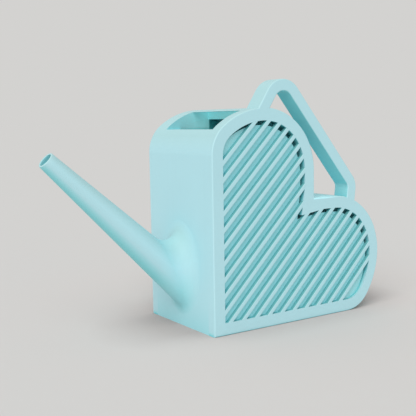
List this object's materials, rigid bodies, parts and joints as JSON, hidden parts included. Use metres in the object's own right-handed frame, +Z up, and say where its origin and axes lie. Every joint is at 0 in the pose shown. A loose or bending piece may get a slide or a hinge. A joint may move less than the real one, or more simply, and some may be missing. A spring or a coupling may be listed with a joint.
{
  "type": "watering can",
  "caption": "Indoor watering can: a deep heart-shaped tank lying on its side with slatted faces, a long slanting spout, a bent strap handle and a fill opening in its shoulder.",
  "frame": {"origin": "middle of the whole can's footprint box, on the floor it stands on", "axes": "+X from the spout towards the lying lobe, along the can's length; +Y from the face with the handle towards the other face; +Z up"},
  "size_m": [0.259, 0.0856, 0.1754],
  "materials": {
    "shell": "satin aqua, one colour all over, with fine layer lines",
    "slats": "satin aqua, crisp edges",
    "inner_walls": "satin aqua, shaded",
    "handle": "satin aqua, edges slightly rounded",
    "spout": "satin aqua, smooth"
  },
  "bodies": {
    "root": {"tank_band": "shell", "front_rim": "shell", "rear_rim": "shell", "front_tank_wall": "inner_walls", "rear_tank_wall": "inner_walls", "front_slat_panel": "inner_walls", "rear_slat_panel": "inner_walls", "front_slat_01": "slats", "front_slat_02": "slats", "front_slat_03": "slats", "front_slat_04": "slats", "front_slat_05": "slats", "front_slat_06": "slats", "front_slat_07": "slats", "front_slat_08": "slats", "front_slat_09": "slats", "front_slat_10": "slats", "front_slat_11": "slats", "front_slat_12": "slats", "front_slat_13": "slats", "front_slat_14": "slats", "front_slat_15": "slats", "front_slat_16": "slats", "front_slat_17": "slats", "front_slat_18": "slats", "front_slat_19": "slats", "front_slat_20": "slats", "rear_slat_01": "slats", "rear_slat_02": "slats", "rear_slat_03": "slats", "rear_slat_04": "slats", "rear_slat_05": "slats", "rear_slat_06": "slats", "rear_slat_07": "slats", "rear_slat_08": "slats", "rear_slat_09": "slats", "rear_slat_10": "slats", "rear_slat_11": "slats", "rear_slat_12": "slats", "rear_slat_13": "slats", "rear_slat_14": "slats", "rear_slat_15": "slats", "rear_slat_16": "slats", "rear_slat_17": "slats", "rear_slat_18": "slats", "rear_slat_19": "slats", "rear_slat_20": "slats", "spout": "spout", "handle": "handle"}
  },
  "joints": []
}
